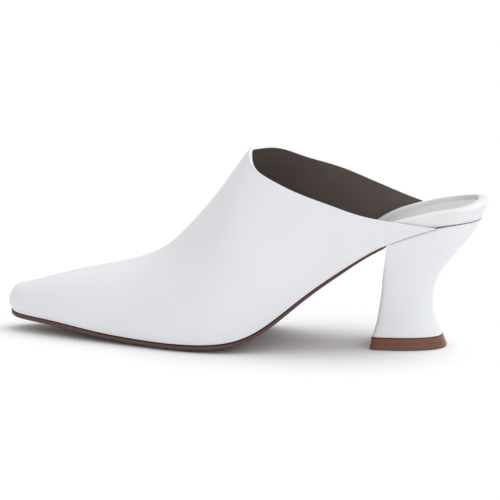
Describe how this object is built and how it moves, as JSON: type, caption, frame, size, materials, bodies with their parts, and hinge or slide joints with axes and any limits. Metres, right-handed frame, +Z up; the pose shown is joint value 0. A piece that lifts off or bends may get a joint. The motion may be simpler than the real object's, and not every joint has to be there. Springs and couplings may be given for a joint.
{
  "type": "closed toe slipper",
  "caption": "Pointed closed toe slipper for the left foot: high-vamped white leather mule, open behind, on a thin sole and a flared block heel.",
  "frame": {"origin": "on the floor, under the middle of the shoe's bounding box", "axes": "+X along the shoe from toe to heel, +Y towards the inner side of the left foot, +Z up"},
  "size_m": [0.2497, 0.0798, 0.098],
  "materials": {
    "upper_leather": "smooth white leather, satin",
    "lining_leather": "matt taupe lining leather",
    "sole_leather": "brown leather, stained edge",
    "footbed_leather": "smooth white leather wrapped round the footbed",
    "sock_leather": "pale grey leather, matt",
    "heel_leather": "smooth white leather, satin",
    "heel_tip": "stacked brown leather, waxed"
  },
  "bodies": {
    "root": {"upper": "upper_leather", "outsole": "sole_leather", "insole": "footbed_leather", "sock": "sock_leather", "heel": "heel_leather", "top_piece": "heel_tip"}
  },
  "joints": []
}
